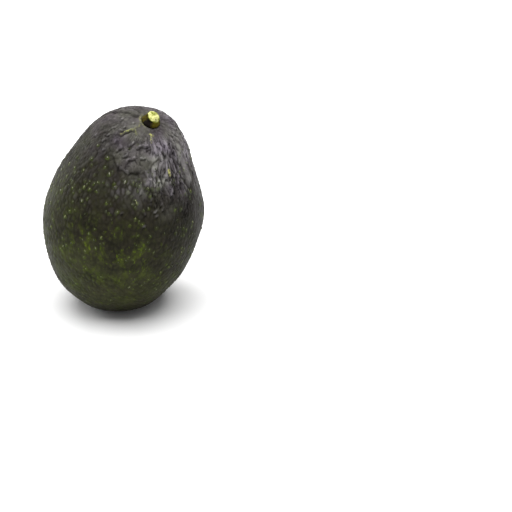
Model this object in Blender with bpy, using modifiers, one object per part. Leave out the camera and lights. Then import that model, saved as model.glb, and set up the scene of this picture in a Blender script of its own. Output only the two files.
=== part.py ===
"""A whole avocado of the dark, pebbled kind, stem up, resting on the small flat of its blossom end.

The fruit is one solid: an egg-shaped body on a leaning centreline, with a dimple and ribs round the
stem, a shallow dent in the front and pebbled skin all over. The stem button is a separate solid that
stands in a socket of the fruit.

Units are metres and +Z is up. The origin is the middle of the resting flat. -Y is the front.
"""

import math
import random
from typing import NamedTuple

import bmesh
import bpy
from mathutils import Vector, noise

MM = 0.001

# Body: an ellipsoid-like form of this full height, before the resting flat is cut
FORM_HEIGHT = 96.0 * MM
GIRTH_RADIUS = 34.8 * MM
TAPER = 0.131  # narrower towards the stem, as a share of the girth
TUCK = 0.143  # drawn in above and below the girth
BLUNTNESS = 0.282  # fuller again at the two ends
DEPTH_RATIO = 0.985  # front to back against side to side
LEAN = Vector((1.3, -2.0, 0.0)) * MM  # how far the centreline drifts from base to top, evenly
BOW = Vector((10.3, -4.0, 0.0)) * MM  # and how far more it bows over towards the top

# Resting flat: the form is moved so that the flat's middle is the origin, then cut at z = 0
FLAT_MIDDLE = Vector((0.25, 0.3, 1.45)) * MM

# Stem end
STEM_DIRECTION = Vector((0.220, -0.231, 0.948)).normalized()
DIMPLE_DEPTH = 1.0 * MM
DIMPLE_REACH = 6.0 * MM
SHOULDER_DISTANCE = 14.0 * MM
RIB_HEIGHT = 0.7 * MM
RIB_FREQUENCY = 1.9
RIB_FADE = 30.0 * MM

# Dent in the front, below the stem, with a ledge under it
DENT_DIRECTION = Vector((0.06, -0.72, 0.69)).normalized()
DENT_DEPTH = 1.1 * MM
DENT_REACH = Vector((9.0, 9.0, 7.5)) * MM
DENT_EDGE = (0.65, 1.2)  # the dent's wall, as shares of its reach
DENT_SLOPE = (-0.9, 0.9)  # where its floor starts and ends to slope out, as shares of its reach
LEDGE_HEIGHT = 0.45 * MM


class Swell(NamedTuple):
    """A broad bump (or hollow, when its height is negative) that keeps the body from a perfect egg."""

    middle: tuple  # mm
    height: float  # mm
    reach: float  # mm


SWELLS = (
    Swell(middle=(36.0, 0.0, 68.0), height=-0.9, reach=12.0),  # right shoulder
    Swell(middle=(38.5, 0.0, 44.0), height=1.1, reach=12.0),  # right flank
    Swell(middle=(22.0, -10.0, 9.0), height=-1.1, reach=10.0),  # tuck under the right flank
    Swell(middle=(-32.0, -8.0, 34.0), height=-0.8, reach=15.0),  # left flank
    Swell(middle=(-13.0, 0.0, 82.0), height=-0.6, reach=12.0),  # left shoulder
    Swell(middle=(10.0, 2.0, 94.0), height=-0.7, reach=10.0),  # crown behind the stem
    Swell(middle=(-18.0, -14.0, 6.5), height=-0.9, reach=8.0),  # tuck under the left flank
    Swell(middle=(14.0, 28.0, 60.0), height=-0.9, reach=12.0),  # back
    Swell(middle=(-12.0, 31.0, 38.0), height=0.8, reach=12.0),  # back
)
UNEVENNESS = 0.3 * MM
UNEVENNESS_SPAN = 16.0 * MM

# Pebbled skin: one low pyramid for each pebble, larger than life so that the facets can carry them
PEBBLES = 1500
PEBBLE_SCATTER = 0.16  # of the spacing
PEBBLE_HEIGHT = 0.55 * MM
PEBBLE_LEAST = 0.45  # the lowest pebble, as a share of the highest
PEBBLE_SEED = 11
CALM_BASE = (0.5 * MM, 6.0 * MM)  # height over which relief grows from the resting flat
CALM_STEM = (4.5 * MM, 15.0 * MM)  # distance over which pebbles grow from the stem

# Stem button, in its own frame: z = 0 is the seat, +Z points out of the fruit
FIT_GAP = 0.3 * MM
ROOT_GAP = 0.5 * MM
ROOT_RADIUS = 2.7 * MM
ROOT_DEPTH = 1.8 * MM
ROOT_TAPER = 0.3 * MM
FLANGE_RADIUS = 3.95 * MM
FLANGE_THICKNESS = 0.9 * MM
FLANGE_ROUND = 0.3 * MM
STUB_RADIUS = 2.85 * MM
STUB_HEIGHT = 3.7 * MM
STUB_FLARE = 0.9 * MM  # height over which the stub widens into the flange
FACE_ROUND = 0.5 * MM  # rounding of the cut face's rim
PITH_RADIUS = 0.55 * MM
PITH_DEPTH = 0.5 * MM
TURNED_STEPS = 28
BUTTON_UNEVENNESS = 0.45 * MM
BUTTON_UNEVENNESS_SPAN = 2.2 * MM
SEAT_SINK = 0.7 * MM  # how far the seat lies under the dimple's surface

SKIN_COLOUR = (0.032, 0.034, 0.022)
SKIN_ROUGHNESS = 0.45
STEM_COLOUR = (0.40, 0.42, 0.08)
STEM_ROUGHNESS = 0.7

GOLDEN_ANGLE = math.pi * (3 - math.sqrt(5))


def smooth_rise(value, start, end):
    """0 before start, 1 after end, and a smooth rise between them."""
    share = min(max((value - start) / (end - start), 0.0), 1.0)
    return share * share * (3 - 2 * share)


def bell(distance, reach):
    """1 at distance 0, falling smoothly to nothing past about twice the reach."""
    return math.exp(-((distance / reach) ** 2))


def form_point(direction):
    """The point of the smooth body that lies in this direction from its middle."""
    up = direction.z
    rise = (1 + up) / 2
    girth = GIRTH_RADIUS * (1 - TAPER * up - TUCK * up**2 + BLUNTNESS * up**4)
    centre = LEAN * rise + BOW * rise**2
    return Vector((
        centre.x + girth * direction.x,
        centre.y + girth * DEPTH_RATIO * direction.y,
        FORM_HEIGHT * rise,
    )) - FLAT_MIDDLE


def form_normal(direction):
    """The way out of the smooth body in this direction."""
    return Vector((
        direction.x / GIRTH_RADIUS,
        direction.y / (GIRTH_RADIUS * DEPTH_RATIO),
        direction.z / (FORM_HEIGHT / 2),
    )).normalized()


STEM_POINT = form_point(STEM_DIRECTION)
STEM_AXIS = form_normal(STEM_DIRECTION)
DENT_POINT = form_point(DENT_DIRECTION)


def stem_relief(point):
    """Dimple and ribs round the stem, as a height above the smooth body."""
    away = point - STEM_POINT
    distance = away.length
    dimple = -DIMPLE_DEPTH * bell(distance, DIMPLE_REACH)
    across = away - STEM_AXIS * away.dot(STEM_AXIS)
    if across.length < STUB_RADIUS:
        return dimple
    spoke = across.normalized() * RIB_FREQUENCY
    ribs = RIB_HEIGHT * noise.noise(spoke + Vector((0.0, 0.0, distance / RIB_FADE)))
    fade = smooth_rise(distance, FLANGE_RADIUS, SHOULDER_DISTANCE) * bell(distance, RIB_FADE)
    return dimple + ribs * fade


def dent_relief(point):
    """The shallow dent in the front. Its floor slopes out from top to bottom, and ends in a low ledge."""
    away = point - DENT_POINT
    spread = Vector((away.x / DENT_REACH.x, away.y / DENT_REACH.y, away.z / DENT_REACH.z))
    inside = 1 - smooth_rise(spread.length, *DENT_EDGE)
    low = smooth_rise(-spread.z, *DENT_SLOPE)
    return inside * (LEDGE_HEIGHT * low - DENT_DEPTH * (1 - low))


def body_relief(point):
    """The swells and the slow unevenness of the whole body."""
    height = UNEVENNESS * noise.noise(point / UNEVENNESS_SPAN)
    for swell in SWELLS:
        distance = (point - Vector(swell.middle) * MM).length
        height += swell.height * MM * bell(distance, swell.reach * MM)
    return height


def broad_relief(point):
    """Everything on the skin that is wider than a pebble."""
    calm = smooth_rise(point.z, *CALM_BASE)
    return (body_relief(point) + stem_relief(point) + dent_relief(point)) * calm


def pebble_directions():
    """Evenly spread directions, one for each pebble, each moved a little at random."""
    draw = random.Random(PEBBLE_SEED)
    scatter = PEBBLE_SCATTER * math.sqrt(4 * math.pi / PEBBLES)
    for index in range(PEBBLES):
        up = 1 - 2 * (index + 0.5) / PEBBLES
        out = math.sqrt(1 - up * up)
        turn = index * GOLDEN_ANGLE
        even = Vector((out * math.cos(turn), out * math.sin(turn), up))
        stray = Vector([draw.uniform(-scatter, scatter) for _ in range(3)])
        yield (even + stray).normalized()


def pebble_net():
    """A unit ball of many-sided cells, each a fan of triangles round one pebble's top.

    The hull of the tops is poked, which puts a corner in the middle of every triangle. Turning the
    hull's own edges then joins those corners into creases that run round each top.
    """
    net = bmesh.new()
    tops = [net.verts.new(direction) for direction in pebble_directions()]
    bmesh.ops.convex_hull(net, input=tops)
    hull_edges = list(net.edges)
    bmesh.ops.poke(net, faces=list(net.faces))
    creases = bmesh.ops.rotate_edges(net, edges=hull_edges)["edges"]
    for vertex in net.verts:
        vertex.co.normalize()
    for face in net.faces:
        face.smooth = True
    for crease in creases:
        crease.smooth = False
    return net, tops


def pebble_sizes(tops):
    """How tall each pebble stands, 0 to 1: at random, and less where its cell is cramped."""
    draw = random.Random(PEBBLE_SEED)
    roomy = 0.5 * math.sqrt(4 * math.pi / PEBBLES)
    sizes = {}
    for top in tops:
        room = min(edge.calc_length() for edge in top.link_edges)
        sizes[top] = draw.uniform(PEBBLE_LEAST, 1.0) * min(room / roomy, 1.0)
    return sizes


def raise_skin(net, tops):
    """Moves the unit ball's points to the fruit's surface, with its relief."""
    sizes = pebble_sizes(tops)
    for vertex in net.verts:
        direction = vertex.co.copy()
        point = form_point(direction)
        calm = smooth_rise(point.z, *CALM_BASE)
        calm *= smooth_rise((point - STEM_POINT).length, *CALM_STEM)
        lift = broad_relief(point) + PEBBLE_HEIGHT * sizes.get(vertex, 0.0) * calm
        vertex.co = point + form_normal(direction) * lift


def cut_resting_flat(net):
    """Cuts the fruit at z = 0 and closes it with one flat face."""
    everything = [*net.verts, *net.edges, *net.faces]
    bmesh.ops.bisect_plane(
        net, geom=everything, plane_co=(0, 0, 0), plane_no=(0, 0, 1), clear_inner=True
    )
    rim = [edge for edge in net.edges if edge.is_boundary]
    for edge in rim:
        edge.smooth = False
    bmesh.ops.holes_fill(net, edges=rim)
    bmesh.ops.recalc_face_normals(net, faces=list(net.faces))


def turned(name, profile, collection):
    """An object turned about its own Z axis. The profile runs down the outer side, as (radius, z)."""
    mesh = bpy.data.meshes.new(name)
    points = [(radius, 0.0, z) for radius, z in profile]
    mesh.from_pydata(points, [(i, i + 1) for i in range(len(points) - 1)], [])
    turned_object = bpy.data.objects.new(name, mesh)
    collection.objects.link(turned_object)
    screw = turned_object.modifiers.new("turn", "SCREW")
    screw.steps = screw.render_steps = TURNED_STEPS
    screw.use_merge_vertices = True
    screw.merge_threshold = 0.00001
    return turned_object


def stand_at_stem(thing):
    """Places a turned object at the stem's seat, with its own +Z pointing out of the fruit."""
    thing.rotation_euler = STEM_AXIS.to_track_quat("Z", "Y").to_euler()
    thing.location = STEM_POINT - STEM_AXIS * (DIMPLE_DEPTH + SEAT_SINK)


def plain_material(name, colour, roughness):
    """A Principled material of one colour."""
    material = bpy.data.materials.new(name)
    material.use_nodes = True
    shader = material.node_tree.nodes["Principled BSDF"]
    shader.inputs["Base Color"].default_value = (*colour, 1.0)
    shader.inputs["Roughness"].default_value = roughness
    shader.inputs["Metallic"].default_value = 0.0
    return material


def build_fruit(collection, cutters):
    """The whole fruit, with the socket that its stem stands in."""
    net, tops = pebble_net()
    raise_skin(net, tops)
    cut_resting_flat(net)
    mesh = bpy.data.meshes.new("fruit")
    net.to_mesh(mesh)
    net.free()
    fruit = bpy.data.objects.new("fruit", mesh)
    collection.objects.link(fruit)
    mesh.materials.append(plain_material("avocado_skin", SKIN_COLOUR, SKIN_ROUGHNESS))

    hole_radius = ROOT_RADIUS + ROOT_GAP
    mouth_radius = FLANGE_RADIUS + FIT_GAP
    above_skin = 5 * FLANGE_THICKNESS
    socket = turned("socket_cutter", [
        (0.0, above_skin),
        (mouth_radius, above_skin),
        (mouth_radius, 0.0),
        (hole_radius, 0.0),
        (hole_radius, -ROOT_DEPTH - FIT_GAP),
        (0.0, -ROOT_DEPTH - FIT_GAP),
    ], cutters)
    stand_at_stem(socket)
    socket.hide_render = True
    socket.display_type = "WIRE"
    cut = fruit.modifiers.new("socket", "BOOLEAN")
    cut.operation = "DIFFERENCE"
    cut.solver = "EXACT"
    cut.object = socket
    return fruit


def build_stem_button(collection):
    """The button left by the cut stalk: a root, a flange on the skin and a short stub with a pith hole."""
    under = FIT_GAP
    flange_top = under + FLANGE_THICKNESS
    button = turned("stem_button", [
        (0.0, STUB_HEIGHT - PITH_DEPTH),
        (PITH_RADIUS, STUB_HEIGHT - PITH_DEPTH),
        (PITH_RADIUS, STUB_HEIGHT),
        (STUB_RADIUS - FACE_ROUND, STUB_HEIGHT),
        (STUB_RADIUS, STUB_HEIGHT - FACE_ROUND),
        (STUB_RADIUS, flange_top + STUB_FLARE),
        (FLANGE_RADIUS - FLANGE_ROUND, flange_top),
        (FLANGE_RADIUS, flange_top - FLANGE_ROUND),
        (FLANGE_RADIUS, under + FLANGE_ROUND),
        (FLANGE_RADIUS - FLANGE_ROUND, under),
        (ROOT_RADIUS, under),
        (ROOT_RADIUS - ROOT_TAPER, -ROOT_DEPTH),
        (0.0, -ROOT_DEPTH),
    ], collection)
    grain = bpy.data.textures.new("button_grain", "CLOUDS")
    grain.noise_scale = BUTTON_UNEVENNESS_SPAN
    uneven = button.modifiers.new("uneven", "DISPLACE")
    uneven.texture = grain
    uneven.texture_coords = "LOCAL"
    uneven.strength = BUTTON_UNEVENNESS
    uneven.mid_level = 0.5
    button.data.materials.append(plain_material("stem_wood", STEM_COLOUR, STEM_ROUGHNESS))
    stand_at_stem(button)
    return button


def main():
    """Clears the scene and builds the avocado."""
    for old in list(bpy.data.objects):
        bpy.data.objects.remove(old)
    avocado = bpy.data.collections.new("avocado")
    cutters = bpy.data.collections.new("cutters")
    bpy.context.scene.collection.children.link(avocado)
    bpy.context.scene.collection.children.link(cutters)
    build_fruit(avocado, cutters)
    build_stem_button(avocado)


main()
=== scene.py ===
"""The looks of a whole avocado: pebbled, waxy skin with corky lenticels, and the button of its cut stalk.

The fruit's form repeats the construction in the part's own source, at the same sizes, with finer
relief. Lengths in the dataclasses are in millimetres, and meshes are in metres. -Y is the front.
"""

import logging
import math
import random
from dataclasses import dataclass
from enum import Enum

import bpy
import numpy as np
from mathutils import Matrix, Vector, noise
from mathutils.kdtree import KDTree


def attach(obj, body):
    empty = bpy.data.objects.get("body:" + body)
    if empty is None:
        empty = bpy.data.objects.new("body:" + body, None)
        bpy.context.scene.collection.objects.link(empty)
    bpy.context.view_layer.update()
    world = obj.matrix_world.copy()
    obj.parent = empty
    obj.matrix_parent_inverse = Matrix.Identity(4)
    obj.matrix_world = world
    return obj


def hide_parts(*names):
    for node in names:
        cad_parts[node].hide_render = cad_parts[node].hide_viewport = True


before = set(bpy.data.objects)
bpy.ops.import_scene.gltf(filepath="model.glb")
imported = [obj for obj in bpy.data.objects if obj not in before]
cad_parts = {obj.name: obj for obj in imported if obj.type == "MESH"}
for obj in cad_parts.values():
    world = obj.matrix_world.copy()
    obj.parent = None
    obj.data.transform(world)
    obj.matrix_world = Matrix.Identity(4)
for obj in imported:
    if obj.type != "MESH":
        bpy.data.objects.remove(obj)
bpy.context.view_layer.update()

LOG = logging.getLogger("avocado")
MM = 0.001
# Most values of a noise texture lie between these two
NOISE_RANGE = (0.3, 0.7)
SMOOTH = {"interpolation_type": "SMOOTHSTEP"}
BLEND = {"data_type": "RGBA"}

Pair = tuple[float, float]
Triple = tuple[float, float, float]
Tree = bpy.types.NodeTree
Socket = bpy.types.NodeSocket


def linear_colour(hex_colour: str) -> tuple[float, float, float, float]:
    """Turns an sRGB hex colour to linear.

    Args:
        hex_colour: six hex digits, with or without a leading hash sign.

    Returns:
        Red, green, blue and an alpha of 1, as Blender's colour sockets take them.
    """
    digits = hex_colour.lstrip("#")
    channels = [int(digits[start:start + 2], 16) / 255 for start in (0, 2, 4)]
    linear = [c / 12.92 if c <= 0.04045 else ((c + 0.055) / 1.055) ** 2.4 for c in channels]
    return (*linear, 1.0)


def per_metre(millimetres: float) -> float:
    """The scale of a texture node whose features are this many millimetres apart."""
    return 1 / (millimetres * MM)


def limits(side: str, low_high: Pair) -> dict[str, float]:
    """The settings of a Map Range node's two limits, on its From or its To side."""
    return {f"{side} Min": low_high[0], f"{side} Max": low_high[1]}


def add_node(
    tree: Tree,
    kind: str,
    settings: dict | None = None,
    links: dict | None = None,
) -> bpy.types.Node:
    """Adds a node to a tree with its settings and links.

    Args:
        tree: the node tree that gets the node.
        kind: the node's type without its first words, such as "TexNoise" for ShaderNodeTexNoise.
        settings: values by the name of a property, or by the name or number of an input. An input's
            hex colour is turned to linear.
        links: sockets that feed this node, by the name or number of its input.

    Returns:
        The new node.
    """
    node = tree.nodes.new("ShaderNode" + kind)
    for name, value in (settings or {}).items():
        if isinstance(name, str) and hasattr(node, name):
            setattr(node, name, value)
        else:
            node.inputs[name].default_value = linear_colour(value) if isinstance(value, str) else value
    for name, socket in (links or {}).items():
        tree.links.new(socket, node.inputs[name])
    return node


def new_material(name: str) -> tuple[bpy.types.Material, bpy.types.Node]:
    """Makes an empty material.

    Args:
        name: the material's name.

    Returns:
        The material and its Principled shader, which is joined to the output.
    """
    material = bpy.data.materials.new(name)
    material.use_nodes = True
    tree = material.node_tree
    tree.nodes.clear()
    shader = add_node(tree, "BsdfPrincipled")
    add_node(tree, "OutputMaterial", links={"Surface": shader.outputs[0]})
    return material, shader


def smooth_rise(value: np.ndarray, start: float, end: float) -> np.ndarray:
    """Returns 0 before start, 1 after end, and a smooth rise between them."""
    share = np.clip((value - start) / (end - start), 0.0, 1.0)
    return share * share * (3 - 2 * share)


def bell(distance: np.ndarray, reach: float) -> np.ndarray:
    """Returns 1 at distance 0, falling smoothly to nothing past about twice the reach."""
    return np.exp(-((distance / reach) ** 2))


def perlin(points: np.ndarray, span: float) -> np.ndarray:
    """Smooth noise of about -0.6 to 0.6 at places in mm. Shifting them all gives another noise."""
    return np.array([noise.noise(Vector(place)) for place in points / span])


def drift(points: np.ndarray, span: float, shifts: tuple[float, ...]) -> np.ndarray:
    """Smooth noise at places in mm, with a column for each shift of them, so that the columns differ."""
    return np.stack([perlin(points + shift, span) for shift in shifts], axis=1)


def distance_from(points: np.ndarray, middle: Triple | np.ndarray) -> np.ndarray:
    """How far each place is from the middle."""
    return np.linalg.norm(points - np.array(middle), axis=1)


def turned(turn: np.ndarray, radius: np.ndarray, height: np.ndarray) -> np.ndarray:
    """The points at these turns round the upright axis, one row each."""
    return np.stack([radius * np.cos(turn), radius * np.sin(turn), height], axis=-1).reshape(-1, 3)


def unit(vectors: np.ndarray) -> np.ndarray:
    """The same vectors, each of length 1."""
    return vectors / np.linalg.norm(vectors, axis=-1, keepdims=True)


def mesh_piece(name: str, points_mm: np.ndarray, faces: np.ndarray | list) -> bpy.types.Object:
    """Makes a smooth mesh object and puts it in the scene.

    Args:
        name: the object's name.
        points_mm: its vertices in mm, one row each.
        faces: the numbers of each face's corners, anticlockwise from outside.

    Returns:
        The object, at the origin.
    """
    mesh = bpy.data.meshes.new(name)
    mesh.from_pydata((points_mm * MM).tolist(), [], [list(map(int, face)) for face in faces])
    mesh.shade_smooth()
    piece = bpy.data.objects.new(name, mesh)
    bpy.context.scene.collection.objects.link(piece)
    return piece


def store(piece: bpy.types.Object, name: str, values: np.ndarray) -> None:
    """Keeps one number for each vertex of a piece as an attribute, for its finish to read."""
    attribute = piece.data.attributes.new(name, "FLOAT", "POINT")
    attribute.data.foreach_set("value", values.astype(np.float32))


class Ripeness(Enum):
    """How far the skin has turned. Each gives the rind's tints low down, at the waist and at the crown; the
    crown's is lighter partly as painted sheen from the light above.
    """

    GREEN = ("#3f4f1e", "#3c4a1d", "#414d26")
    TURNING = ("#2d2f1b", "#242318", "#484544")
    RIPE = ("#241d1b", "#1f191a", "#332b30")


@dataclass(frozen=True)
class WaxySkin:
    """Avocado skin: a tough rind, grown in pebbles under a thin wax bloom.

    The wax gives a soft, broad sheen rather than mirror gloss. The rind under it is nearly black,
    greener where it is less ripe, with small green haloes round the lenticels. An edge is the two
    values of a noise between which a pattern starts to show.
    """

    ripeness: Ripeness = Ripeness.TURNING
    # The colour of the painted shade: creases, grooves, under the folds, round the foot and the shadow on the
    # right flank are mixed towards it
    crease: str = "#12100c"
    green_patch: str = "#3c4610"
    speck: str = "#506110"
    halo: str = "#44540f"
    # Pale bloom on the tops, which also stands in as painted sheen and glints
    bloom: str = "#8c898c"
    scar: str = "#a8aa62"
    purple: str = "#837e87"
    grey_green: str = "#7e8078"
    ior: float = 1.45
    specular: float = 0.07
    # The wax lies thicker, and so smoother, towards the crown
    roughness: Pair = (0.5, 0.36)
    roughness_height: Pair = (40.0, 80.0)
    roughness_drift: Pair = (-0.06, 0.08)
    # Where one tint of the rind turns to the next, and how far these borders rise to the left and sway.
    # The crown's lighter tint is partly wax bloom and partly painted sheen from the light above, and it
    # reaches lower on the right as painted light; the darker waist tint reaches lower on the right partly as
    # painted shadow.
    belly_height: Pair = (26.0, 54.0)
    crown_height: Pair = (74.0, 100.0)
    belly_tilt: float = 0.5
    crown_tilt: float = 0.9
    border_sway: float = 50.0
    patch_span: float = 13.0
    # Green patches and specks are longer from top to bottom than across
    green_squeeze: float = 0.6
    green_span: float = 5.0
    green_edge: Pair = (0.47, 0.63)
    green_most: float = 0.8
    speck_span: float = 1.5
    speck_lift: float = 0.3
    speck_edge: Pair = (0.77, 0.87)
    speck_most: float = 0.9
    mottle_span: float = 2.6
    mottle_shades: Pair = (0.65, 1.35)
    hue_span: float = 8.0
    # The nicks are about 0.5 mm apart in life, and are drawn coarser here so that they show
    tick_span: float = 1.3
    tick_length: float = 3.0
    tick_depth: float = 0.35
    nick_edge: Pair = (0.52, 0.66)
    top_edge: Pair = (0.3, 0.44)
    top_level: float = -0.5
    tick_shades: Pair = (1.6, 0.3)
    # The grain of the wax is under 0.1 mm in life, and is drawn coarser here so that it shows
    grain_span: float = 0.9
    grain_depth: float = 0.05
    fray_edge: Pair = (0.35, 0.62)

    def material(self) -> bpy.types.Material:
        """Builds the finish.

        It reads the attributes pebble, wrinkled, greenness, halo, dust_and_painted_sheen and scar of the
        mesh.

        Returns:
            The material.
        """
        material, shader = new_material("waxy_avocado_skin")
        tree = material.node_tree
        place = add_node(tree, "TexCoord").outputs["Object"]
        ticks = self._ticks(tree, place)
        # The nicks darken the colour as painted shade and the tops lighten it as painted glints
        shades = limits("From", (self.top_level, 1.0)) | limits("To", self.tick_shades)
        dip = add_node(tree, "MapRange", shades, {"Value": ticks})
        base = add_node(tree, "VectorMath", {"operation": "SCALE"}, {
            0: self._markings(tree, place, self._rind(tree, place)), "Scale": dip.outputs[0],
        }).outputs[0]
        tree.links.new(self._hue(tree, place, base), shader.inputs["Base Color"])
        gloss = add_node(tree, "TexNoise", {"Scale": per_metre(self.patch_span / 3), "Detail": 3.0},
                         {"Vector": place})
        height = add_node(tree, "SeparateXYZ", links={0: place}).outputs["Z"]
        low, high = self.roughness_height
        rising = limits("From", (low * MM, high * MM)) | limits("To", self.roughness)
        waxy = add_node(tree, "MapRange", rising, {"Value": height})
        drifting = limits("From", NOISE_RANGE) | limits("To", self.roughness_drift)
        uneven = add_node(tree, "MapRange", drifting, {"Value": gloss.outputs["Fac"]})
        roughness = add_node(tree, "Math", {"operation": "ADD"}, {0: waxy.outputs[0], 1: uneven.outputs[0]})
        tree.links.new(roughness.outputs[0], shader.inputs["Roughness"])
        grain = add_node(tree, "TexNoise", {"Scale": per_metre(self.grain_span), "Detail": 4.0},
                         {"Vector": place})
        bump = add_node(tree, "Bump", {"Strength": 1.0, "Distance": self.grain_depth * MM},
                        {"Height": grain.outputs["Fac"]})
        cuts = add_node(tree, "Bump", {"invert": True, "Strength": 1.0, "Distance": self.tick_depth * MM},
                        {"Height": ticks, "Normal": bump.outputs[0]})
        tree.links.new(cuts.outputs[0], shader.inputs["Normal"])
        shader.inputs["IOR"].default_value = self.ior
        shader.inputs["Specular IOR Level"].default_value = self.specular
        return material

    def _rind(self, tree: Tree, place: Socket) -> Socket:
        """The rind's colour: belly to crown, with green patches, specks and a fine mottle.

        Args:
            tree: the material's nodes.
            place: the socket that gives the place on the fruit, in metres.

        Returns:
            The colour socket.
        """
        belly, waist, crown = self.ripeness.value
        rind = add_node(tree, "RGB").outputs[0]
        rind.default_value = linear_colour(belly)
        wander = add_node(tree, "TexNoise", {"Scale": per_metre(self.patch_span), "Detail": 3.0},
                          {"Vector": place})
        sway = self.border_sway * MM
        borders = ((self.belly_height, self.belly_tilt, waist), (self.crown_height, self.crown_tilt, crown))
        for (low, high), tilt, tint in borders:
            height = add_node(tree, "VectorMath", {"operation": "DOT_PRODUCT", 1: (tilt, 0.0, 1.0)},
                              {0: place})
            # The noise is about a half on average, so it sways the border up and down alike
            shifted = add_node(tree, "Math", {"operation": "MULTIPLY_ADD", 1: sway},
                               {0: wander.outputs["Fac"], 2: height.outputs["Value"]})
            ends = (low * MM + sway / 2, high * MM + sway / 2)
            share = add_node(tree, "MapRange", SMOOTH | limits("From", ends), {"Value": shifted.outputs[0]})
            rind = add_node(tree, "Mix", BLEND | {7: tint}, {0: share.outputs[0], 6: rind}).outputs[2]
        long = add_node(tree, "VectorMath", {"operation": "MULTIPLY", 1: (1.0, 1.0, self.green_squeeze)},
                        {0: place})
        patches = add_node(tree, "TexNoise", {
            "Scale": per_metre(self.green_span), "Detail": 4.0, "Roughness": 0.72, "Distortion": 0.3,
        }, {"Vector": long.outputs[0]})
        specks = add_node(tree, "TexNoise", {"Scale": per_metre(self.speck_span), "Detail": 2.0},
                          {"Vector": long.outputs[0]})
        # The specks crowd in the patches and beside them
        raised = add_node(tree, "Math", {"operation": "MULTIPLY_ADD", 1: self.speck_lift},
                          {0: patches.outputs["Fac"], 2: specks.outputs["Fac"]})
        greenness = add_node(tree, "Attribute", {"attribute_name": "greenness"})
        greens = (
            (patches.outputs["Fac"], self.green_edge, self.green_most, self.green_patch),
            (raised.outputs[0], self.speck_edge, self.speck_most, self.speck),
        )
        for level, edge, most, tint in greens:
            share = add_node(tree, "MapRange", SMOOTH | limits("From", edge) | {"To Max": most},
                             {"Value": level})
            share = add_node(tree, "Math", {"operation": "MULTIPLY"},
                             {0: share.outputs[0], 1: greenness.outputs["Fac"]})
            rind = add_node(tree, "Mix", BLEND | {7: tint}, {0: share.outputs[0], 6: rind}).outputs[2]
        mottle = add_node(tree, "TexNoise", {"Scale": per_metre(self.mottle_span), "Detail": 5.0},
                          {"Vector": place})
        depth = add_node(tree, "MapRange", limits("From", NOISE_RANGE) | limits("To", self.mottle_shades),
                         {"Value": mottle.outputs["Fac"]})
        return add_node(tree, "VectorMath", {"operation": "SCALE"},
                        {0: rind, "Scale": depth.outputs[0]}).outputs[0]

    def _ticks(self, tree: Tree, place: Socket) -> Socket:
        """Short nicks that run down the wrinkled skin and pale tops between them, too fine for the mesh.

        Args:
            tree: the material's nodes.
            place: the socket that gives the place on the fruit, in metres.

        Returns:
            The socket of their depth: 1 in a nick, the top level on a top and 0 on plain skin.
        """
        squeeze = self.tick_span / self.tick_length
        long = add_node(tree, "VectorMath", {"operation": "MULTIPLY", 1: (1.0, 1.0, squeeze)}, {0: place})
        streaks = add_node(tree, "TexNoise", {
            "Scale": per_metre(self.tick_span), "Detail": 2.0, "Distortion": 0.6,
        }, {"Vector": long.outputs[0]}).outputs["Fac"]
        dark = add_node(tree, "MapRange", SMOOTH | limits("From", self.nick_edge), {"Value": streaks})
        tops = limits("From", self.top_edge) | limits("To", (self.top_level, 0.0))
        light = add_node(tree, "MapRange", SMOOTH | tops, {"Value": streaks})
        both = add_node(tree, "Math", {"operation": "ADD"}, {0: dark.outputs[0], 1: light.outputs[0]})
        wrinkled = add_node(tree, "Attribute", {"attribute_name": "wrinkled"})
        return add_node(tree, "Math", {"operation": "MULTIPLY"},
                        {0: both.outputs[0], 1: wrinkled.outputs["Fac"]}).outputs[0]

    def _hue(self, tree: Tree, place: Socket, colour: Socket) -> Socket:
        """Lets the bloom drift from purple to grey-green over the fruit, as bright as before.

        Args:
            tree: the material's nodes.
            place: the socket that gives the place on the fruit, in metres.
            colour: the colour that drifts.

        Returns:
            The colour socket.
        """
        swing = add_node(tree, "TexNoise", {"Scale": per_metre(self.hue_span), "Detail": 2.0},
                         {"Vector": place})
        share = add_node(tree, "MapRange", limits("From", NOISE_RANGE), {"Value": swing.outputs["Fac"]})
        tints = [Vector(linear_colour(tint)[:3]) for tint in (self.purple, self.grey_green)]
        # Divided by their mean, the tints change the hue alone
        purple, green = [(*(tint / (sum(tint) / 3)), 1.0) for tint in tints]
        tint = add_node(tree, "Mix", BLEND | {6: purple, 7: green}, {0: share.outputs[0]})
        return add_node(tree, "VectorMath", {"operation": "MULTIPLY"},
                        {0: colour, 1: tint.outputs[2]}).outputs[0]

    def _markings(self, tree: Tree, place: Socket, base: Socket) -> Socket:
        """What lies on the rind: creases and grooves darkened as painted shade, haloes, pale bloom and
        painted sheen on the tops, and scars.

        Args:
            tree: the material's nodes.
            place: the socket that gives the place on the fruit, in metres.
            base: the rind's colour.

        Returns:
            The colour socket.
        """
        # Mixed towards the crease colour as painted shade
        pebble = add_node(tree, "Attribute", {"attribute_name": "pebble"})
        colour = add_node(tree, "Mix", BLEND | {6: self.crease},
                          {0: pebble.outputs["Fac"], 7: base}).outputs[2]
        # The pale marking is partly bloom and partly painted sheen and glints
        # Each has frayed edges: how far apart the frays are in mm, and the share that they leave of it
        markings = (
            ("halo", self.halo, 0.8, 0.0), ("dust_and_painted_sheen", self.bloom, 4.0, 0.5), ("scar", self.scar, 0.7, -0.1),
        )
        for name, tint, span, least in markings:
            frays = add_node(tree, "TexNoise", {"Scale": per_metre(span), "Detail": 2.0}, {"Vector": place})
            left = add_node(tree, "MapRange", limits("From", self.fray_edge) | {"To Min": least},
                            {"Value": frays.outputs["Fac"]})
            marking = add_node(tree, "Attribute", {"attribute_name": name})
            share = add_node(tree, "Math", {"operation": "MULTIPLY", "use_clamp": True},
                             {0: marking.outputs["Fac"], 1: left.outputs[0]})
            colour = add_node(tree, "Mix", BLEND | {7: tint}, {0: share.outputs[0], 6: colour}).outputs[2]
        return colour


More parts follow.
